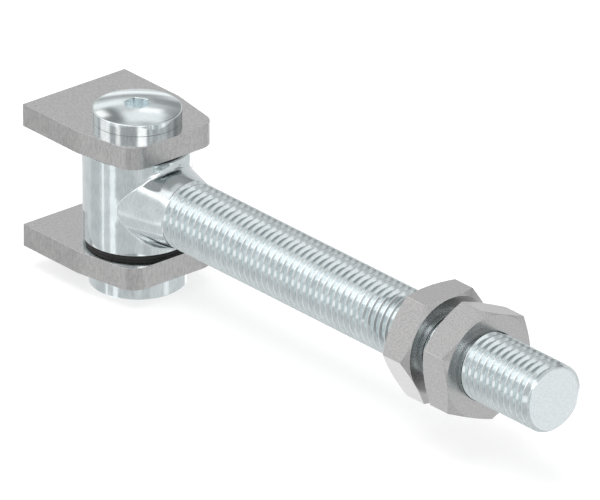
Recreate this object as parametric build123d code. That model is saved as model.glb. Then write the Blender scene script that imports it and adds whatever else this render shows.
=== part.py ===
from build123d import *
from math import cos, radians, tan
import os

# Weld-on gate hinge. The origin is the centre of the lower lug's weld face.
# +X runs from that face past the pin and along the threaded rod, +Z is up.

# Weld lugs: two plates one above the other, square at the weld, narrower in front
lug_width = 44.0
lug_length = 52.5
lug_thickness = 8.0
lug_gap = 36.0
lug_parallel_length = 28.3
lug_front_width = 36.0
lug_corner_radius = 7.0
pin_from_weld = 33.2

# Hinge pin: low domed head with a hex socket, plain shank, smaller threaded end
shank_diameter = 20.0
head_diameter = 30.0
head_side_height = 4.0
dome_rise = 1.7
head_edge_chamfer = 0.4
socket_across_flats = 8.0
socket_depth = 5.2
stud_diameter = 16.0
pin_end_chamfer = 1.0
shank_shortfall = 0.3
stud_shortfall = 0.6

# Round nut under the lower lug
round_nut_diameter = 33.0
round_nut_height = 7.3
round_nut_chamfer = 0.6

# Flanged bushes pressed into the barrel's two ends
bush_wall = 2.0
bush_length = 12.0
bush_flange_diameter = 35.0
bush_flange_thickness = 1.1

# Eye bolt: upright barrel, conical neck and threaded rod in one piece
barrel_diameter = 36.8
barrel_chamfer = 0.7
neck_root_inset = 0.2
neck_end_from_pin = 26.8
neck_fillet = 2.0
rod_diameter = 24.0
rod_length = 213.3
rod_end_chamfer = 1.2

# Jam nuts on the rod
nut_across_flats = 36.0
nut_thickness = 12.0
nut_chamfer_angle = 30.0
outer_nut_turn = 38.0
rod_past_outer_nut = 33.0
gate_wall_gap = 6.9

# Clearances
running_clearance = 0.05
pin_hole_clearance = 0.1
press_clearance = 0.02
thread_clearance = 0.05
flange_play = 0.05

lug_pitch = lug_gap + lug_thickness
rod_height = lug_pitch / 2
shank_radius = shank_diameter / 2
rod_radius = rod_diameter / 2
bush_outer_radius = shank_radius + running_clearance + bush_wall
barrel_height = lug_gap - 2 * (bush_flange_thickness + flange_play)
pin_axis = (pin_from_weld, 0, 0)
outer_nut_from_pin = rod_length - rod_past_outer_nut - nut_thickness / 2
inner_nut_from_pin = outer_nut_from_pin - nut_thickness - gate_wall_gap


def at_pin(part, height):
    """Stands a part that is drawn about its own Z axis on the pin's axis."""
    return Pos(pin_from_weld, 0, height) * part


def along_rod(part, from_pin, turn=0.0):
    """Lays a part that is drawn about its own Z axis on the rod's axis."""
    return Pos(pin_from_weld + from_pin, 0, rod_height) * Rot(0, 90, 0) * Rot(0, 0, turn) * part


def weld_lug():
    """Plate about z = 0 with its square weld edge on x = 0 and its pin hole bored through."""
    half = lug_width / 2
    front = lug_front_width / 2
    outline = Polyline(
        (0, -half),
        (lug_parallel_length, -half),
        (lug_length, -front),
        (lug_length, front),
        (lug_parallel_length, half),
        (0, half),
        close=True,
    )
    plate = extrude(make_face(outline), lug_thickness / 2, both=True)
    front_edges = plate.edges().filter_by(Axis.Z).group_by(Axis.X)[-1]
    plate = fillet(front_edges, lug_corner_radius)
    hole = Cylinder(shank_radius + pin_hole_clearance, lug_thickness)
    return plate - Pos(*pin_axis) * hole


def revolved(points):
    """Turns a closed half section, given as (radius, height) points, about the Z axis."""
    section = Polyline(*[(radius, 0, height) for radius, height in points], close=True)
    return revolve(make_face(section), Axis.Z)


def hexagon_with_corner_on_y(across_flats):
    """Hexagonal face about the Z axis, two of its flats facing along X."""
    return RegularPolygon(across_flats / 2, 6, major_radius=False, rotation=30)


def hinge_pin():
    """Pin about the Z axis with z = 0 under its head."""
    head_radius = head_diameter / 2
    stud_radius = stud_diameter / 2
    shank_end = -(lug_gap + 2 * lug_thickness - shank_shortfall)
    stud_end = -(lug_gap + 2 * lug_thickness + round_nut_height - stud_shortfall)
    crown = (0, 0, head_side_height + dome_rise)
    head_rim = (head_radius, 0, head_side_height)
    side = Polyline(
        crown,
        (0, 0, stud_end),
        (stud_radius - pin_end_chamfer, 0, stud_end),
        (stud_radius, 0, stud_end + pin_end_chamfer),
        (stud_radius, 0, shank_end),
        (shank_radius, 0, shank_end),
        (shank_radius, 0, 0),
        (head_radius, 0, 0),
        head_rim,
    )
    dome = TangentArc(crown, head_rim, tangent=(1, 0, 0))
    pin = revolve(make_face([side, dome]), Axis.Z)
    full_circles = pin.edges().filter_by(lambda edge: edge.is_closed)
    pin = chamfer(full_circles.sort_by(Axis.Z)[-1], head_edge_chamfer)
    hexagon = hexagon_with_corner_on_y(socket_across_flats)
    socket_floor = head_side_height + dome_rise - socket_depth
    return pin - Pos(0, 0, socket_floor) * extrude(hexagon, socket_depth)


def round_nut():
    """Round nut about the Z axis, below z = 0."""
    outer = round_nut_diameter / 2
    inner = stud_diameter / 2 + thread_clearance
    return revolved([
        (inner, 0),
        (outer, 0),
        (outer, -round_nut_height + round_nut_chamfer),
        (outer - round_nut_chamfer, -round_nut_height),
        (inner, -round_nut_height),
    ])


def flanged_bush():
    """Bush about the Z axis, its flange above z = 0 and its sleeve below."""
    inner = shank_radius + running_clearance
    return revolved([
        (inner, bush_flange_thickness),
        (bush_flange_diameter / 2, bush_flange_thickness),
        (bush_flange_diameter / 2, 0),
        (bush_outer_radius, 0),
        (bush_outer_radius, -bush_length),
        (inner, -bush_length),
    ])


def eye_bolt():
    """Barrel about the Z axis with the neck and rod along +X, both centred on the origin."""
    barrel_radius = barrel_diameter / 2
    barrel = Cylinder(barrel_radius, barrel_height)
    barrel = chamfer(barrel.edges().filter_by(GeomType.CIRCLE), barrel_chamfer)
    neck = Rot(0, 90, 0) * revolved([
        (0, 0),
        (barrel_radius - neck_root_inset, 0),
        (rod_radius, neck_end_from_pin),
        (rod_radius, rod_length - rod_end_chamfer),
        (rod_radius - rod_end_chamfer, rod_length),
        (0, rod_length),
    ])
    tallest = Box(2 * rod_length, barrel_diameter, barrel_height)
    bolt = barrel + (neck & tallest)
    round_or_straight = (GeomType.CIRCLE, GeomType.LINE)
    crease = bolt.edges().filter_by(lambda edge: edge.geom_type not in round_or_straight)
    bolt = fillet(crease, neck_fillet)
    bore = Cylinder(bush_outer_radius + press_clearance, barrel_height)
    return bolt - bore


def jam_nut():
    """Hex nut about the Z axis with its mid-plane on z = 0 and a corner on the Y axis."""
    half = nut_thickness / 2
    bore_radius = rod_radius + thread_clearance
    flat_radius = nut_across_flats / 2
    corner_radius = flat_radius / cos(radians(30))
    corner_drop = (corner_radius - flat_radius) * tan(radians(nut_chamfer_angle))
    hexagon = extrude(hexagon_with_corner_on_y(nut_across_flats), half, both=True)
    turned = revolved([
        (bore_radius, half),
        (flat_radius, half),
        (corner_radius, half - corner_drop),
        (corner_radius, corner_drop - half),
        (flat_radius, -half),
        (bore_radius, -half),
    ])
    return hexagon & turned


def hinge_parts():
    """Every piece in its place, by node name."""
    upper_lug_top = lug_pitch + lug_thickness / 2
    lower_lug_underside = -lug_thickness / 2
    bush = flanged_bush()
    flange_seat = barrel_height / 2
    return {
        "upper_lug": Pos(0, 0, lug_pitch) * weld_lug(),
        "lower_lug": weld_lug(),
        "eye_bolt": at_pin(eye_bolt(), rod_height),
        "upper_bush": at_pin(bush, rod_height + flange_seat),
        "lower_bush": at_pin(Rot(180, 0, 0) * bush, rod_height - flange_seat),
        "hinge_pin": at_pin(hinge_pin(), upper_lug_top),
        "round_nut": at_pin(round_nut(), lower_lug_underside),
        "inner_nut": along_rod(jam_nut(), inner_nut_from_pin),
        "outer_nut": along_rod(jam_nut(), outer_nut_from_pin, outer_nut_turn),
    }


os.makedirs("parts", exist_ok=True)
for name, part in hinge_parts().items():
    export_step(part, f"parts/{name}.step")
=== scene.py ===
from math import atan2, ceil, cos, floor, pi, radians, sin, sqrt, tan
import bmesh
import bpy
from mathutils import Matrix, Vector


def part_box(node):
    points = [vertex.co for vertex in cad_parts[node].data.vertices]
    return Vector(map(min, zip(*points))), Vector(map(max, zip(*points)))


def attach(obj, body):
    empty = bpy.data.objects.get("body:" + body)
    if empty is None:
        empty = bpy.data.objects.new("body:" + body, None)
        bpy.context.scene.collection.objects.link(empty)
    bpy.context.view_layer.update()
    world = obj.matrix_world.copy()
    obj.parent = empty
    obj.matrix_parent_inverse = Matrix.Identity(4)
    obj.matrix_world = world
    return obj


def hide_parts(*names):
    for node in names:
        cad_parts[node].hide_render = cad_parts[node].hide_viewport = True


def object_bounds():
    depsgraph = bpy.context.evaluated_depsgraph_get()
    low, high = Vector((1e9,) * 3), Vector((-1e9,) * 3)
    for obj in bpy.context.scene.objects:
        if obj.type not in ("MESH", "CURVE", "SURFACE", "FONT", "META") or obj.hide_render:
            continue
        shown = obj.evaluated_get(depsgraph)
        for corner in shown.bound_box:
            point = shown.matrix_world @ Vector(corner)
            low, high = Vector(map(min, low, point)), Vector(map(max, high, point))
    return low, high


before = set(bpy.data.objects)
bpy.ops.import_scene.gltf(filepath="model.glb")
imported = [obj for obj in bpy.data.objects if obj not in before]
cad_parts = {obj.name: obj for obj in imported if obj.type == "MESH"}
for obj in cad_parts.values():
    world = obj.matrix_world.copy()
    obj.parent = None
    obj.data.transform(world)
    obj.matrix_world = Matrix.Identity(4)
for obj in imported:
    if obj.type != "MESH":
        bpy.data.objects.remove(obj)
cad_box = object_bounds()

# Eye bolt
# An upright barrel, a tapered neck and an M24 rod in one piece, forged, turned and then
# bright zinc plated. The thread is rolled with a pitch of 3 mm and runs out at the neck.
mm = 0.001
eye_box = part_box("eye_bolt")
barrel_height = eye_box[1].z - eye_box[0].z
barrel_radius = (eye_box[1].y - eye_box[0].y) / 2
pin_axis = Vector((eye_box[0].x + barrel_radius, 0, 0))
rod_height = (eye_box[0].z + eye_box[1].z) / 2
eye_centre = pin_axis + Vector((0, 0, rod_height))
tip = eye_box[1].x - eye_centre.x
barrel_chamfer = 0.7 * mm
barrel_bore_radius = 12.07 * mm
neck_root_radius = 18.2 * mm
neck_end = 26.8 * mm
neck_fillet = 2 * mm
rod_radius = 12 * mm
tip_chamfer = 1.2 * mm
thread_pitch = 3 * mm
thread_root_radius = 10.16 * mm
thread_root_fillet = 0.433 * mm
crest_half_width = 0.1875 * mm
crest_round = 0.0575 * mm
flank_angle = radians(30)
first_crest = 29.05 * mm
thread_runout = 1.6 * mm
spare_turns = 2
around = 144
quarter = around // 4
seam_steps = 5
barrel_rows = 20
neck_rows = 5
fillet_rows = 8
tip_rings = (0.96, 0.5, 0)
weld_distance = 0.002 * mm
eye_bolt_crease = radians(50)


def skinned_piece(name, patches, crease):
    """Welds grids of points that meet along their borders into one closed piece."""
    corners, faces = [], []
    for rows in patches:
        first, wide = len(corners), len(rows[0])
        corners += [point for row in rows for point in row]
        for start in range(first, first + (len(rows) - 1) * wide, wide):
            faces += [(c, c + 1, c + 1 + wide, c + wide) for c in range(start, start + wide - 1)]
    mesh = bpy.data.meshes.new(name)
    mesh.from_pydata(corners, [], faces)
    shape = bmesh.new()
    shape.from_mesh(mesh)
    bmesh.ops.remove_doubles(shape, verts=shape.verts, dist=weld_distance)
    bmesh.ops.dissolve_degenerate(shape, edges=shape.edges, dist=weld_distance)
    bmesh.ops.recalc_face_normals(shape, faces=shape.faces)
    shape.to_mesh(mesh)
    shape.free()
    mesh.shade_smooth()
    mesh.set_sharp_from_angle(angle=crease)
    piece = bpy.data.objects.new(name, mesh)
    bpy.context.scene.collection.objects.link(piece)
    return piece


def even_shading(piece):
    """Lets the large faces of a piece set the shading along its narrow edges."""
    shading = piece.modifiers.new("even shading", "WEIGHTED_NORMAL")
    shading.keep_sharp = True


def full_turn(steps):
    """Angles once round, with the first one repeated at the end."""
    return [2 * pi * step / steps for step in range(steps + 1)]


def rod_point(along, radius, angle):
    """A point about the rod's axis, angles running from +Y towards +Z."""
    return eye_centre + Vector((along, radius * cos(angle), radius * sin(angle)))


def from_crest(along, angle):
    """Axial distance from the nearest thread crest, on a right-hand helix."""
    turned = along - first_crest - thread_pitch * angle / (2 * pi)
    return abs((turned / thread_pitch + 0.5) % 1 - 0.5) * thread_pitch


def rolled_thread(along, angle):
    """Radius of the rod's thread: flat crest, straight flanks and a round root."""
    gap = from_crest(along, angle)
    if gap <= crest_half_width - crest_round:
        return rod_radius
    if gap <= crest_half_width + crest_round:
        eased = (gap - crest_half_width + crest_round) / (2 * crest_round)
        return rod_radius - eased * crest_round / tan(flank_angle)
    from_root = thread_pitch / 2 - gap
    if from_root >= thread_root_fillet * cos(flank_angle):
        return rod_radius - (gap - crest_half_width) / tan(flank_angle)
    rise = sqrt(thread_root_fillet**2 - from_root**2)
    return thread_root_radius + thread_root_fillet - rise


def threaded_grid(start, end, stations, angles, radius_at):
    """Rows that follow the helix at each station of the profile, cut square at both ends."""
    first_turn = floor((start - first_crest) / thread_pitch) - spare_turns
    last_turn = ceil((end - first_crest) / thread_pitch) + spare_turns
    rows = []
    for turn in range(first_turn, last_turn):
        for station in stations:
            crest = first_crest + turn * thread_pitch + station
            helix = [crest + thread_pitch * a / (2 * pi) for a in angles]
            places = [min(max(along, start), end) for along in helix]
            rows.append([rod_point(x, radius_at(x, a), a) for x, a in zip(places, angles)])
    return rows


def rod_surface(along, angle):
    """Radius of the rod: the thread, fading in at the neck and cut by the tip's chamfer."""
    depth = rod_radius - rolled_thread(along, angle)
    run = min((along - neck_end) / thread_runout, 1)
    threaded = rod_radius - depth * run * run * (3 - 2 * run)
    chamfered = rod_radius - tip_chamfer + tip - along
    return min(threaded, chamfered)


def rod_grid():
    """The threaded rod from the neck to the centre of its cut end."""
    half_crest = crest_half_width - crest_round
    shoulder = crest_half_width + crest_round
    root = thread_pitch / 2
    hollow = thread_root_fillet * cos(flank_angle)
    stations = [-shoulder, -half_crest, half_crest, shoulder]
    stations += [root - hollow, root - hollow / 2, root, root + hollow / 2, root + hollow]
    angles = full_turn(around)
    rows = threaded_grid(neck_end, tip, stations, angles, rod_surface)
    rim = [rod_surface(tip, a) for a in angles]
    rows += [[rod_point(tip, share * r, a) for r, a in zip(rim, angles)] for share in tip_rings]
    return rows


def neck_column(angle):
    """Points along the neck at one angle, from the thread to its fillet's end on the barrel."""
    slope = (neck_root_radius - rod_radius) / neck_end
    lean = sqrt(1 + slope**2)
    reach = barrel_radius + neck_fillet
    wide = neck_root_radius + neck_fillet * lean
    side = cos(angle) ** 2
    ball_x = wide * slope * side + sqrt(reach**2 * (1 + slope**2 * side) - wide**2 * side)
    ball_x /= 1 + slope**2 * side
    ball_r = wide - slope * ball_x
    ball = Vector((ball_x, ball_r * cos(angle), ball_r * sin(angle)))
    from_neck = Vector((slope, cos(angle), sin(angle))) / lean
    from_barrel = Vector((ball.x, ball.y, 0)) / reach
    on_neck = ball - neck_fillet * from_neck
    thread_end = Vector((neck_end, rod_radius * cos(angle), rod_radius * sin(angle)))
    column = [thread_end.lerp(on_neck, row / neck_rows) for row in range(neck_rows)]
    for row in range(fillet_rows + 1):
        column.append(ball - neck_fillet * from_neck.slerp(from_barrel, row / fillet_rows))
    return column


def barrel_border(step):
    """Where a column of the barrel ends: on its back seam, or at one of its two chamfers."""
    top = barrel_height / 2 - barrel_chamfer
    right, up = (step + quarter) % around < 2 * quarter, step < 2 * quarter
    place = min(step % (2 * quarter), 2 * quarter - step % (2 * quarter))
    if place <= seam_steps:
        bearing, height = pi, top * place / seam_steps
    else:
        bearing, height = pi * (quarter - place) / (quarter - seam_steps), top
    return (bearing if right else -bearing), (height if up else -height)


def barrel_point(bearing, radius, height):
    """A point about the pin's axis, at a height above the rod's axis."""
    return eye_centre + Vector((radius * cos(bearing), radius * sin(bearing), height))


def eye_grids():
    """The barrel and neck: the neck with its fillet, the barrel's wall, and its ends and bore."""
    neck = [neck_column(angle) for angle in full_turn(around)]
    neck_grid = [[eye_centre + point for point in row] for row in zip(*neck)]
    wall = []
    for row in range(barrel_rows + 1):
        share = row / barrel_rows
        points = []
        for step in range(around + 1):
            foot = neck[step][-1]
            bearing, height = barrel_border(step % around)
            turned = atan2(foot.y, foot.x) * (1 - share) + bearing * share
            level = foot.z * (1 - share) + height * share
            points.append(barrel_point(turned, barrel_radius, level))
        wall.append(points)
    columns = range(seam_steps, 2 * quarter - seam_steps + 1)
    bearings = [barrel_border(step)[0] for step in columns]
    half = barrel_height / 2
    rims = [
        (barrel_radius, half - barrel_chamfer),
        (barrel_radius - barrel_chamfer, half),
        (barrel_bore_radius, half),
        (barrel_bore_radius, -half),
        (barrel_radius - barrel_chamfer, -half),
        (barrel_radius, barrel_chamfer - half),
    ]
    ends = [[barrel_point(b, radius, height) for b in bearings] for radius, height in rims]
    return [neck_grid, wall, ends]


class Value:
    """One output of a node. Arithmetic and comparisons on outputs add Math nodes."""

    def __init__(self, finish, node, output):
        self.finish = finish
        self.node = node
        self.output = output

    def joined(self, operation, first, second):
        return self.finish.node("ShaderNodeMath", {"operation": operation}, {0: first, 1: second})

    def __add__(self, other):
        return self.joined("ADD", self, other)

    def __radd__(self, other):
        return self.joined("ADD", other, self)

    def __sub__(self, other):
        return self.joined("SUBTRACT", self, other)

    def __rsub__(self, other):
        return self.joined("SUBTRACT", other, self)

    def __mul__(self, other):
        return self.joined("MULTIPLY", self, other)

    def __rmul__(self, other):
        return self.joined("MULTIPLY", other, self)

    def __gt__(self, other):
        return self.joined("GREATER_THAN", self, other)

    def __abs__(self):
        return self.finish.node("ShaderNodeMath", {"operation": "ABSOLUTE"}, {0: self})


# A Mix node's sockets for its two colours, and its output for the mixture.
first_colour = 6
second_colour = 7
mixed_colour = 2


class Finish:
    """The nodes of one material, or of the world."""

    def __init__(self, owner):
        owner.use_nodes = True
        self.owner = owner
        self.tree = owner.node_tree
        self.tree.nodes.clear()

    def node(self, kind, settings, sockets, output=0):
        """Adds a node, sets it up, fills or links its sockets and gives back one output."""
        added = self.tree.nodes.new(kind)
        for name, setting in settings.items():
            setattr(added, name, setting)
        for name, value in sockets.items():
            if isinstance(value, Value):
                self.tree.links.new(value.node.outputs[value.output], added.inputs[name])
            else:
                added.inputs[name].default_value = value
        return Value(self, added, output)

    def position(self):
        """Place on the part, in metres."""
        return self.node("ShaderNodeTexCoord", {}, {}, "Object")

    def axis(self, vector, name):
        """One of a vector's X, Y and Z."""
        return self.node("ShaderNodeSeparateXYZ", {}, {0: vector}, name)

    def grain(self, place, count, detail=2.0):
        """Noise whose grains are as many to the metre along X, Y and Z as count says."""
        stretch = {"operation": "MULTIPLY"}
        spread = self.node("ShaderNodeVectorMath", stretch, {0: place, 1: count})
        sockets = {"Vector": spread, "Scale": 1.0, "Detail": detail}
        return self.node("ShaderNodeTexNoise", {}, sockets)

    def ranged(self, value, lowest, highest, low=0.0, high=1.0):
        """A value eased from one range to another, and held at its ends."""
        settings = {"interpolation_type": "SMOOTHSTEP"}
        ends = {"From Min": lowest, "From Max": highest, "To Min": low, "To Max": high}
        return self.node("ShaderNodeMapRange", settings, {"Value": value, **ends})

    def mixed(self, share, first, second):
        """Two colours mixed by a share."""
        sockets = {0: share, first_colour: first, second_colour: second}
        return self.node("ShaderNodeMix", {"data_type": "RGBA"}, sockets, mixed_colour)

    def bumped(self, height, depth):
        """Normals of a surface whose relief is height times depth, in metres."""
        return self.node("ShaderNodeBump", {}, {"Height": height, "Distance": depth})

    def shown_by(self, shader):
        """Ends the material with a shader."""
        self.node("ShaderNodeOutputMaterial", {}, {"Surface": shader})
        return self.owner

    def metal(self, colour, roughness, normal):
        """Ends the material as a bare or plated metal."""
        sockets = {"Base Color": colour, "Roughness": roughness, "Metallic": 1.0, "Normal": normal}
        return self.shown_by(self.node("ShaderNodeBsdfPrincipled", {}, sockets))


# Noise seldom leaves this range, so a colour spread over it shows its whole contrast.
grain_low = 0.36
grain_high = 0.64

zinc_clouds = (180, 180, 180)
zinc_lines = (3000, 3000, 400)
zinc_grit = (2400, 2400, 2400)
zinc_grit_detail = 4.0
zinc_grit_low = 0.3
zinc_grit_high = 0.7
zinc_cloud_share = 0.4
zinc_line_share = 0.6
zinc_shade = (0.6, 0.66, 0.675, 1)
zinc_light = (0.72, 0.78, 0.795, 1)
zinc_grit_shade = 0.87
zinc_polish = 0.06
zinc_cloud_roughness = 0.06
zinc_line_roughness = 0.05
zinc_grit_relief = 15
zinc_relief = 0.002 * mm
sawn_colour = (0.89, 0.955, 0.975)
sawn_frosting = 0.24
face_margin = 0.04 * mm


def zinc_plate(name, other_part, pale, frosting):
    """Bright zinc, nearly a mirror, finely lined upright, with one part pale and frosted: a real
    finish on a sawn or turned face, and painted light in the pin's socket.
    """
    finish = Finish(bpy.data.materials.new(name))
    place = finish.position()
    other = other_part(finish, place)
    clouds = finish.grain(place, zinc_clouds)
    lines = finish.grain(place, zinc_lines)
    grit = finish.grain(place, zinc_grit, zinc_grit_detail)
    tone = zinc_cloud_share * clouds + zinc_line_share * lines
    bright = finish.mixed(finish.ranged(tone, grain_low, grain_high), zinc_shade, zinc_light)
    deep = tuple(zinc_grit_shade * part for part in pale)
    speckle = finish.ranged(grit, zinc_grit_low, zinc_grit_high)
    gritty = finish.mixed(speckle, (*deep, 1), (*pale, 1))
    colour = finish.mixed(other, bright, gritty)
    roughness = zinc_polish + zinc_cloud_roughness * clouds + zinc_line_roughness * lines
    roughness = roughness + frosting * other
    relief = lines + zinc_grit_relief * frosting * other * grit
    return finish.metal(colour, roughness, finish.bumped(relief, zinc_relief))


def sawn_tip(finish, place):
    """The sawn end of the rod."""
    return finish.axis(place, "X") > eye_box[1].x - face_margin


plated_eye_bolt = zinc_plate("zinc_plated_eye_bolt", sawn_tip, sawn_colour, sawn_frosting)
eye_bolt = skinned_piece("eye_bolt_plated", [*eye_grids(), rod_grid()], eye_bolt_crease)
even_shading(eye_bolt)
eye_bolt.data.materials.append(plated_eye_bolt)
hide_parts("eye_bolt")
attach(eye_bolt, "gate_rod")

# Bushes
# Two flanged plain bearings, moulded in black polymer and pressed into the barrel's ends.
# Only the rim of each flange shows, between the barrel and a lug.
polymer_grain = (1800, 1800, 1800)
polymer_shade = (0.012, 0.012, 0.012, 1)
polymer_light = (0.024, 0.024, 0.025, 1)
polymer_roughness = 0.42
polymer_grain_roughness = 0.2
polymer_relief = 0.01 * mm


def black_polymer():
    """Matt black polymer with a faint moulded grain."""
    finish = Finish(bpy.data.materials.new("moulded_black_polymer"))
    grain = finish.grain(finish.position(), polymer_grain)
    sockets = {
        "Base Color": finish.mixed(grain, polymer_shade, polymer_light),
        "Roughness": polymer_roughness + polymer_grain_roughness * grain,
        "Normal": finish.bumped(grain, polymer_relief),
    }
    return finish.shown_by(finish.node("ShaderNodeBsdfPrincipled", {}, sockets))


bush_polymer = black_polymer()
for node in ("upper_bush", "lower_bush"):
    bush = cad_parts[node]
    bush.material_slots[0].material = bush_polymer

# Weld lugs
# Two lugs cut from 8 mm steel plate, left bare so that they can be welded to a post. The
# rolled faces are scratched lengthwise, and the cut edges are striped through the plate.
lug_parallel_length = 28.3 * mm
lug_front_half_width = 18 * mm
lug_corner_radius = 7 * mm
lug_hole_radius = 10.1 * mm
lug_edge_round = 0.06 * mm
lug_edge_segments = 2
lug_crease = radians(30)
corner_steps = 10
edge_steps = 8
shortest_edge = 2 * mm


def lug_outline(box):
    """Points round a lug's plan, from the middle of its front, evenly stepped on each stretch."""
    half, length = box[1].y, box[1].x
    taper = atan2(half - lug_front_half_width, length - lug_parallel_length)
    inset = lug_corner_radius
    corner_x = length - inset
    edge_at_corner = half - (corner_x - lug_parallel_length) * tan(taper)
    corner_y = edge_at_corner - inset / cos(taper)
    sweep = [(pi / 2 - taper) * step / corner_steps for step in range(corner_steps + 1)]
    corner = [Vector((corner_x + inset * cos(a), corner_y + inset * sin(a), 0)) for a in sweep]
    stops = [Vector((length, 0, 0)), *corner, Vector((lug_parallel_length, half, 0))]
    stops += [Vector((0, half, 0)), Vector((0, 0, 0))]
    side = []
    for start, end in zip(stops, stops[1:]):
        steps = edge_steps if (end - start).length > shortest_edge else 1
        side += [start.lerp(end, step / steps) for step in range(steps)]
    side.append(stops[-1])
    other = [Vector((point.x, -point.y, 0)) for point in reversed(side)]
    return side + other[1:]


def weld_lug(name, box):
    """A lug with its pin hole, its edges just broken by the cut."""
    outline = lug_outline(box)
    hole = []
    for point in outline:
        bearing = (point - pin_axis).normalized()
        hole.append(pin_axis + lug_hole_radius * bearing)
    top, foot = box[1].z, box[0].z
    levels = [(hole, top), (outline, top), (outline, foot), (hole, foot), (hole, top)]
    rows = [[Vector((p.x, p.y, z)) for p in loop] for loop, z in levels]
    lug = skinned_piece(name, [rows], lug_crease)
    edges = lug.modifiers.new("broken edges", "BEVEL")
    edges.width = lug_edge_round
    edges.segments = lug_edge_segments
    edges.limit_method = "ANGLE"
    edges.angle_limit = lug_crease
    even_shading(lug)
    return lug


steel_detail = 3.0
face_scratches = (650, 2300, 1)
edge_stripes = (2300, 2300, 420)
plate_mottle = (1300, 1300, 1300)
flattest_edge = 0.5
steepest_face = 0.8
plate_streak_share = 0.6
plate_mottle_share = 0.4
edge_shade = (0.4, 0.402, 0.404, 1)
edge_mottle = (0.44, 0.438, 0.436, 1)
edge_light = (0.54, 0.538, 0.536, 1)
face_shade = (0.49, 0.492, 0.493, 1)
face_light = (0.61, 0.61, 0.61, 1)
face_roughness = 0.08
plate_streak_roughness = 0.06
edge_roughness = 0.2
plate_relief = 0.0015 * mm


def bare_plate():
    """Bare mild steel plate: scratched along the rolled faces, striped down the cut edges."""
    finish = Finish(bpy.data.materials.new("bare_steel_plate"))
    place = finish.position()
    facing = finish.node("ShaderNodeNewGeometry", {}, {}, "Normal")
    flat = finish.ranged(abs(finish.axis(facing, "Z")), flattest_edge, steepest_face)
    scratches = finish.grain(place, face_scratches, steel_detail)
    stripes = finish.grain(place, edge_stripes, steel_detail)
    mottle = finish.grain(place, plate_mottle, steel_detail)
    streaks = stripes + flat * (scratches - stripes)
    tone = plate_streak_share * streaks + plate_mottle_share * mottle
    tone = finish.ranged(tone, grain_low, grain_high)
    cut = finish.mixed(mottle, edge_shade, edge_mottle)
    rolled = finish.mixed(tone, face_shade, face_light)
    edge = finish.mixed(tone, cut, edge_light)
    colour = finish.mixed(flat, edge, rolled)
    roughness = face_roughness + plate_streak_roughness * streaks + edge_roughness * (1 - flat)
    return finish.metal(colour, roughness, finish.bumped(streaks, plate_relief))


plate_steel = bare_plate()
for name, node in (("weld_lug_upper", "upper_lug"), ("weld_lug_lower", "lower_lug")):
    lug = weld_lug(name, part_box(node))
    lug.data.materials.append(plate_steel)
    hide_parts(node)
    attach(lug, "post_side")

# Hinge pin
# Turned from steel and bright zinc plated, with a low domed head. It drops through both
# lugs and the bushes, and an 8 mm hex socket lets it be held while the nut is tightened.
pin_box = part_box("hinge_pin")
head_radius = (pin_box[1].x - pin_box[0].x) / 2
head_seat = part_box("upper_lug")[1].z
head_side_height = 4 * mm
dome_rise = 1.7 * mm
head_edge_round = 0.5 * mm
head_foot_round = 0.12 * mm
socket_half_width = 4 * mm
socket_depth = 5.2 * mm
socket_lip = 0.15 * mm
socket_reach = 5 * mm
shank_radius = 10 * mm
shank_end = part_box("lower_lug")[0].z + 0.3 * mm
stud_radius = 8 * mm
stud_chamfer = 1 * mm
pin_steps = 96
dome_steps = 9
edge_round_steps = 4
pin_crease = radians(40)
# Painted light: the socket's walls and floor are coloured nearly white, which lifts the shade that
# the recess holds. The paint starts this far below the crown at the socket's edge.
socket_painted_light = (0.93, 0.985, 1.0)
socket_frosting = 0.02
socket_painted_light_drop = 1.4 * socket_lip


def hexagon_radius(angle, half_width, corner):
    """Distance to a sharp hexagon's side, with one of its corners at a given angle."""
    return half_width / cos((angle - corner) % (pi / 3) - pi / 6)


def pin_point(angle, radius, height):
    """A point about the pin's axis."""
    return pin_axis + Vector((radius * cos(angle), radius * sin(angle), height))


def dome_height(radius):
    """Height of the head's crown at a radius."""
    ball = (head_radius**2 + dome_rise**2) / (2 * dome_rise)
    return head_seat + head_side_height + dome_rise - ball + sqrt(ball**2 - radius**2)


def pin_rows():
    """Rings from the middle of the socket, over the head and down to the stud's end."""
    angles = full_turn(pin_steps)
    hexagon = [hexagon_radius(a, socket_half_width, pi / 2) for a in angles]
    lip = [radius + socket_lip for radius in hexagon]
    bottom = head_seat + head_side_height + dome_rise - socket_depth
    rows = [
        [pin_point(a, 0, bottom) for a in angles],
        [pin_point(a, r, bottom) for a, r in zip(angles, hexagon)],
        [pin_point(a, r, dome_height(r) - socket_lip) for a, r in zip(angles, hexagon)],
        [pin_point(a, r, dome_height(r)) for a, r in zip(angles, lip)],
    ]
    innermost = socket_half_width / cos(pi / 6) + 2 * socket_lip
    rim_radius = head_radius - head_edge_round
    rings = []
    for step in range(dome_steps + 1):
        radius = innermost + (rim_radius - innermost) * step / dome_steps
        rings.append((radius, dome_height(radius)))
    side_top = dome_height(rim_radius) - head_edge_round
    for step in range(1, edge_round_steps + 1):
        turned = radians(90) * step / edge_round_steps
        radius = rim_radius + head_edge_round * sin(turned)
        rings.append((radius, side_top + head_edge_round * cos(turned)))
    rings += [
        (head_radius, head_seat + head_foot_round),
        (head_radius - head_foot_round, head_seat),
        (shank_radius, head_seat),
        (shank_radius, shank_end),
        (stud_radius, shank_end),
        (stud_radius, pin_box[0].z + stud_chamfer),
        (stud_radius - stud_chamfer, pin_box[0].z),
        (0, pin_box[0].z),
    ]
    rows += [[pin_point(a, radius, height) for a in angles] for radius, height in rings]
    return rows


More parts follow.
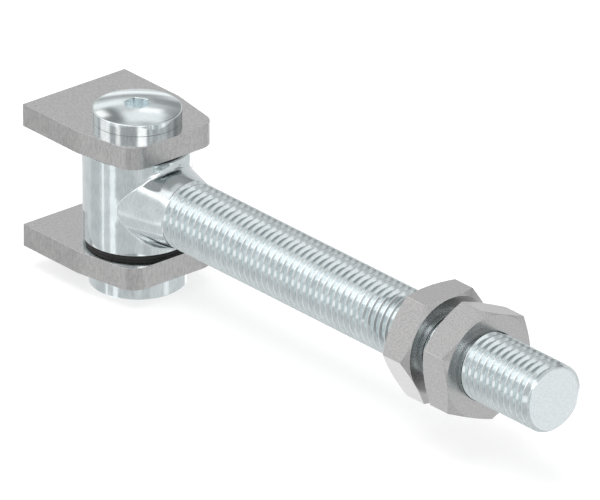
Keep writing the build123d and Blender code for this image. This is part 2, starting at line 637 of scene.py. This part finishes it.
def socket_painted_light_area(finish, place):
    """The walls and floor of the hex socket, coloured nearly white as painted light over the
    recess's shade.
    """
    height = finish.axis(place, "Z")
    flattened = {"operation": "MULTIPLY"}
    plan = finish.node("ShaderNodeVectorMath", flattened, {0: place, 1: (1, 1, 0)})
    between = {"operation": "DISTANCE"}
    gap = finish.node("ShaderNodeVectorMath", between, {0: plan, 1: pin_axis}, "Value")
    below_crown = 1 - (height > dome_height(socket_half_width) - socket_painted_light_drop)
    return (height > head_seat) * below_crown * (1 - (gap > socket_reach))


# The pin's socket gets painted light, a nearly white colour in place of the recess's shade.
plated_pin = zinc_plate("zinc_plated_pin", socket_painted_light_area, socket_painted_light, socket_frosting)
hinge_pin = skinned_piece("hinge_pin_domed", [pin_rows()], pin_crease)
even_shading(hinge_pin)
hinge_pin.data.materials.append(plated_pin)
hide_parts("hinge_pin")
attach(hinge_pin, "post_side")

# Round nut
# A turned and zinc-plated ring, screwed on the pin's stud below the lower lug. It holds
# the pin in place and is smooth outside, so that nothing grips it from below.
nut_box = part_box("round_nut")
round_nut_radius = (nut_box[1].x - nut_box[0].x) / 2
round_nut_chamfer = 0.6 * mm
round_nut_bore = 8.05 * mm
round_nut_countersink = 0.8 * mm
round_nut_crease = radians(30)
underside_colour = (0.8, 0.86, 0.88)
underside_frosting = 0.1


def round_nut_rows():
    """Rings round the nut's section, closed on themselves."""
    top, foot = nut_box[1].z, nut_box[0].z
    section = [
        (round_nut_bore, top),
        (round_nut_radius, top),
        (round_nut_radius, foot + round_nut_chamfer),
        (round_nut_radius - round_nut_chamfer, foot),
        (round_nut_bore + round_nut_countersink, foot),
        (round_nut_bore, foot + round_nut_countersink),
        (round_nut_bore, top),
    ]
    angles = full_turn(pin_steps)
    return [[pin_point(a, radius, height) for a in angles] for radius, height in section]


def turned_underside(finish, place):
    """The face that the lathe left round the bore."""
    return 1 - (finish.axis(place, "Z") > nut_box[0].z + face_margin)


plated_nut = zinc_plate("zinc_plated_nut", turned_underside, underside_colour, underside_frosting)
round_nut = skinned_piece("round_nut_turned", [round_nut_rows()], round_nut_crease)
even_shading(round_nut)
round_nut.data.materials.append(plated_nut)
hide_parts("round_nut")
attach(round_nut, "post_side")

# Jam nuts
# Two thin M24 hex nuts of bare steel, hot pressed, then faced and chamfered on a lathe.
# The gate's frame is clamped between them, and their threads run on the rod's.
nut_half_width = 18 * mm
nut_corner_round = 0.3 * mm
nut_chamfer_angle = radians(30)
nut_face_radius = 17.9 * mm
nut_countersink_radius = 12.2 * mm
nut_bore_radius = 10.43 * mm
nut_groove_radius = 12.08 * mm
thread_play = 0.1 * mm
inner_nut_turn = radians(0)
outer_nut_turn = radians(38)
corner_points = 2
flat_points = 9
nut_crease = radians(25)


def nut_angles(corner):
    """Angles round a nut, close together on its rounded corners, from one corner back to it."""
    set_back = (nut_half_width - nut_corner_round) / cos(pi / 6)
    reach = nut_corner_round * cos(pi / 6)
    blend = atan2(nut_corner_round * sin(pi / 6), set_back + reach)
    flat = pi / 3 - 2 * blend
    angles = []
    for side in range(6):
        start = corner + side * pi / 3
        angles += [start + blend * step / corner_points for step in range(corner_points)]
        angles += [start + blend + flat * step / flat_points for step in range(flat_points)]
        shares = [1 - step / corner_points for step in range(corner_points)]
        angles += [start + pi / 3 - blend * share for share in shares]
    return [*angles, corner + 2 * pi]


def nut_side(angle, corner):
    """Radius of the hexagon with rounded corners."""
    off_corner = abs((angle - corner + pi / 6) % (pi / 3) - pi / 6)
    set_back = (nut_half_width - nut_corner_round) / cos(pi / 6)
    across = set_back * sin(off_corner)
    sharp = hexagon_radius(angle, nut_half_width, corner)
    if across < nut_corner_round:
        return min(set_back * cos(off_corner) + sqrt(nut_corner_round**2 - across**2), sharp)
    return sharp


def jam_nut(name, box, corner):
    """A hex nut on the rod, its thread in step with the rod's."""
    low, high = box[0].x - eye_centre.x, box[1].x - eye_centre.x
    angles = nut_angles(corner)
    crest_radius = rod_radius + thread_play

    def bore(along, angle):
        gap = from_crest(along, angle)
        flank = crest_radius - (gap - crest_half_width) / tan(flank_angle)
        thread = min(max(flank, nut_bore_radius), nut_groove_radius)
        return max(thread, nut_countersink_radius - min(along - low, high - along))

    def ring(along, radius):
        return [rod_point(along, radius, angle) for angle in angles]

    groove = crest_half_width + (crest_radius - nut_groove_radius) * tan(flank_angle)
    land = crest_half_width + (crest_radius - nut_bore_radius) * tan(flank_angle)
    middle = (groove + land) / 2
    stations = [-groove, groove, middle, land, thread_pitch - land, thread_pitch - middle]
    inside = threaded_grid(low, high, stations, angles, bore)
    sides = [nut_side(angle, corner) for angle in angles]
    drops = [(side - nut_face_radius) * tan(nut_chamfer_angle) for side in sides]
    hexagon = list(zip(drops, sides, angles))
    outside = [
        ring(high, nut_countersink_radius),
        ring(high, nut_face_radius),
        [rod_point(high - drop, side, angle) for drop, side, angle in hexagon],
        [rod_point(low + drop, side, angle) for drop, side, angle in hexagon],
        ring(low, nut_face_radius),
        ring(low, nut_countersink_radius),
    ]
    return skinned_piece(name, [inside, outside], nut_crease)


nut_scratches = (1500, 3000, 3000)
nut_mottle = (1700, 1700, 1700)
nut_scratch_share = 0.5
nut_mottle_share = 0.5
nut_shade = (0.45, 0.452, 0.454, 1)
nut_light = (0.55, 0.548, 0.546, 1)
nut_roughness = 0.18
nut_scratch_roughness = 0.08
nut_relief = 0.0004 * mm


def bare_nut_steel():
    """Bare nut steel: satin and mottled, with short fine scratches that run with the rod."""
    finish = Finish(bpy.data.materials.new("bare_nut_steel"))
    place = finish.position()
    scratches = finish.grain(place, nut_scratches, steel_detail)
    mottle = finish.grain(place, nut_mottle, steel_detail)
    tone = nut_scratch_share * scratches + nut_mottle_share * mottle
    colour = finish.mixed(finish.ranged(tone, grain_low, grain_high), nut_shade, nut_light)
    roughness = nut_roughness + nut_scratch_roughness * scratches
    return finish.metal(colour, roughness, finish.bumped(scratches, nut_relief))


nut_steel = bare_nut_steel()
for name, node, turn in (
    ("jam_nut_inner", "inner_nut", inner_nut_turn),
    ("jam_nut_outer", "outer_nut", outer_nut_turn),
):
    nut = jam_nut(name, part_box(node), turn)
    even_shading(nut)
    nut.data.materials.append(nut_steel)
    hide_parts(node)
    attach(nut, node)

# Studio
# A pale floor just under the part, a soft lamp overhead for its shadow, and a pale tent
# with soft boxes that only reflections see. The long lens keeps the view almost parallel.
white = (1, 1, 1, 1)
floor_gap = 0.05 * mm
floor_size = 40.0
floor_paint = (0.5, 0.5, 0.5, 1)
floor_glow = 0.65
tent_radius = 12.0
tent_subdivisions = 4
tent_brightness = 0.8
box_distance = 10.0
box_spacing = 0.1
box_core = 0.55
warm_above = 1.5
warm_cast = (1, 0.955, 0.945, 1)
soft_boxes = []


def direction_at(azimuth, elevation):
    """Unit vector at angles in radians, azimuth from +X towards +Y and elevation upwards."""
    flat = cos(elevation)
    return Vector((flat * cos(azimuth), flat * sin(azimuth), sin(elevation)))


def flat_square(name, half):
    """A square facing +Z about the origin."""
    corners = [(-half, -half, 0), (half, -half, 0), (half, half, 0), (-half, half, 0)]
    mesh = bpy.data.meshes.new(name)
    mesh.from_pydata(corners, [], [(0, 1, 2, 3)])
    square = bpy.data.objects.new(name, mesh)
    bpy.context.scene.collection.objects.link(square)
    return square


def seen_in_reflections_only(thing):
    """Hides a studio piece from everything except what the metal mirrors."""
    thing.visible_camera = False
    thing.visible_diffuse = False
    thing.visible_shadow = False


def glow(name, brightness):
    """A plain even light."""
    finish = Finish(bpy.data.materials.new(name))
    sockets = {"Color": white, "Strength": brightness}
    return finish.shown_by(finish.node("ShaderNodeEmission", {}, sockets))


def seen_rays(finish):
    """1 on the rays by which the camera sees a thing, straight, mirrored or through glass."""
    seen = finish.node("ShaderNodeLightPath", {}, {}, "Is Camera Ray")
    seen = seen + finish.node("ShaderNodeLightPath", {}, {}, "Is Glossy Ray")
    return seen + finish.node("ShaderNodeLightPath", {}, {}, "Is Transmission Ray")


def soft_box(name, azimuth, elevation, wide, high, brightness):
    """A soft box facing the part, placed and sized in degrees. The bright ones are warmer."""
    box = flat_square(name, 1)
    direction = direction_at(radians(azimuth), radians(elevation))
    away = box_distance - box_spacing * len(soft_boxes)
    soft_boxes.append(box)
    box.location = away * direction
    box.rotation_mode = "QUATERNION"
    box.rotation_quaternion = direction.to_track_quat("Z", "Y")
    box.scale = (away * tan(radians(wide / 2)), away * tan(radians(high / 2)), 1)
    finish = Finish(bpy.data.materials.new(name))
    place = finish.position()
    fade = 1.0
    for side in ("X", "Y"):
        across = abs(finish.axis(place, side))
        fade = fade * finish.ranged(across, box_core, 1.0, 1.0, 0.0)
    cast = warm_cast if brightness > warm_above else white
    light = finish.node("ShaderNodeEmission", {}, {"Color": cast, "Strength": brightness})
    clear = finish.node("ShaderNodeBsdfTransparent", {}, {})
    shader = finish.node("ShaderNodeMixShader", {}, {0: fade, 1: clear, 2: light})
    box.data.materials.append(finish.shown_by(shader))
    seen_in_reflections_only(box)


def pale_floor():
    """White floor that keeps a shadow, with a little light of its own as the camera sees it."""
    finish = Finish(bpy.data.materials.new("pale_floor"))
    lift = floor_glow * seen_rays(finish)
    paint = finish.node("ShaderNodeBsdfDiffuse", {}, {"Color": floor_paint})
    light = finish.node("ShaderNodeEmission", {}, {"Color": white, "Strength": lift})
    return finish.shown_by(finish.node("ShaderNodeAddShader", {}, {0: paint, 1: light}))


studio_floor = flat_square("studio_floor", floor_size / 2)
studio_floor.location.z = cad_box[0].z - floor_gap
studio_floor.data.materials.append(pale_floor())
studio_floor.visible_glossy = False
studio_floor.visible_transmission = False

tent_shape = bmesh.new()
bmesh.ops.create_icosphere(tent_shape, subdivisions=tent_subdivisions, radius=tent_radius)
tent_mesh = bpy.data.meshes.new("studio_tent")
tent_shape.to_mesh(tent_mesh)
tent_shape.free()
tent = bpy.data.objects.new("studio_tent", tent_mesh)
bpy.context.scene.collection.objects.link(tent)
tent.data.materials.append(glow("tent_cloth", tent_brightness))
seen_in_reflections_only(tent)

soft_box("dark_board_far_right", 99, 40, 68, 39, 0.31)
soft_box("grey_board_left", -65, -10, 50, 61, 0.68)
soft_box("grey_board_front", -20, -12, 22, 66, 0.68)
soft_box("back_window", 138, 41, 18, 15, 1.12)
soft_box("back_window_sill", 136, 34, 9, 7, 1.55)
soft_box("dark_board_back", 131, 21, 17, 11, 0.37)
soft_box("dark_post_back", 153, 38, 13, 27, 0.3)
soft_box("box_back", 147, 23, 15, 9, 1.2)
soft_box("grey_card_back", 140, 25, 9, 9, 0.74)
soft_box("small_box_back", 154, 33, 7, 12, 1.55)
soft_box("low_strip_back", 138, 8, 23, 6, 1.3)
soft_box("dark_strip_back", 142, 14, 18, 6, 0.47)
soft_box("grey_board_low_left", -140, -25, 34, 20, 0.68)
soft_box("thin_strip_left", -117, 0, 6, 69, 1.4)
soft_box("strip_left", -95.5, -2, 10, 34, 1.2)
soft_box("low_strip_left", -93, -25, 14, 22, 1.25)
soft_box("window_left", -82, 49, 58, 36, 2.0)
soft_box("top_of_window_left", -113, 67, 14, 20, 1.6)
soft_box("sill_left", -90, 24, 14, 34, 1.95)
soft_box("big_box_left", -132, 33, 39, 27, 2.2)
soft_box("box_front", -27, 29, 27, 20, 2.7)
soft_box("box_back_left", -172, 26, 29, 34, 1.2)
soft_box("box_rod_end", 27, 27, 36, 6, 1.15)
soft_box("overhead_box", -65, 66, 29, 44, 2.6)
soft_box("low_box_right", 31, -22, 15, 18, 1.15)
soft_box("dark_card_right", 48, 22, 12, 12, 0.65)
soft_box("small_box_front", -4, 21, 11, 13, 1.25)
soft_box("box_front_left", -27, 10, 15, 15, 2.15)
soft_box("low_box_front_left", -23, -7, 14, 14, 1.22)
soft_box("low_box_far_right", 115, -24, 26, 22, 1.35)
soft_box("high_box_back_left", -141, 57, 33, 17, 1.3)
soft_box("dark_board_right", 63, 6, 10, 21, 0.4)
soft_box("pale_board_below", -175, -46, 53, 38, 1.3)
soft_box("dark_board_above", 4, 84, 64, 30, 0.5)

camera_azimuth = radians(-40)
camera_elevation = radians(25)
lens = 1300.0
sensor = 36.0
nearest_seen = 0.1
farthest_seen = 100
view_width = 198.1 * mm
view_centre = Vector((116.97 * mm, 0.33 * mm, 29.45 * mm))
lamp_width = 1.2
lamp_depth = 0.9
lamp_power = 9
lamp_place = (0.1, -0.3, 1.4)
sky_light = 0.75

lamp_data = bpy.data.lights.new("overhead_lamp", "AREA")
lamp_data.shape = "RECTANGLE"
lamp_data.size = lamp_width
lamp_data.size_y = lamp_depth
lamp_data.energy = lamp_power
lamp = bpy.data.objects.new("overhead_lamp", lamp_data)
bpy.context.scene.collection.objects.link(lamp)
lamp.location = lamp_place
lamp.rotation_mode = "QUATERNION"
lamp.rotation_quaternion = (lamp.location - view_centre).to_track_quat("Z", "Y")
lamp.visible_glossy = False

world = bpy.data.worlds.new("studio_world")
bpy.context.scene.world = world
surround = Finish(world)
strength = sky_light + (1 - sky_light) * seen_rays(surround)
sky = surround.node("ShaderNodeBackground", {}, {"Color": white, "Strength": strength})
surround.node("ShaderNodeOutputWorld", {}, {"Surface": sky})

camera_data = bpy.data.cameras.new("product_camera")
camera_data.lens = lens
camera_data.sensor_width = sensor
camera_data.clip_start = nearest_seen
camera_data.clip_end = farthest_seen
camera = bpy.data.objects.new("product_camera", camera_data)
bpy.context.scene.collection.objects.link(camera)
distance = view_width * lens / sensor
toward_camera = direction_at(camera_azimuth, camera_elevation)
camera.location = view_centre + distance * toward_camera
camera.rotation_mode = "QUATERNION"
camera.rotation_quaternion = toward_camera.to_track_quat("Z", "Y")
bpy.context.scene.camera = camera
bpy.context.scene.view_settings.view_transform = "Standard"
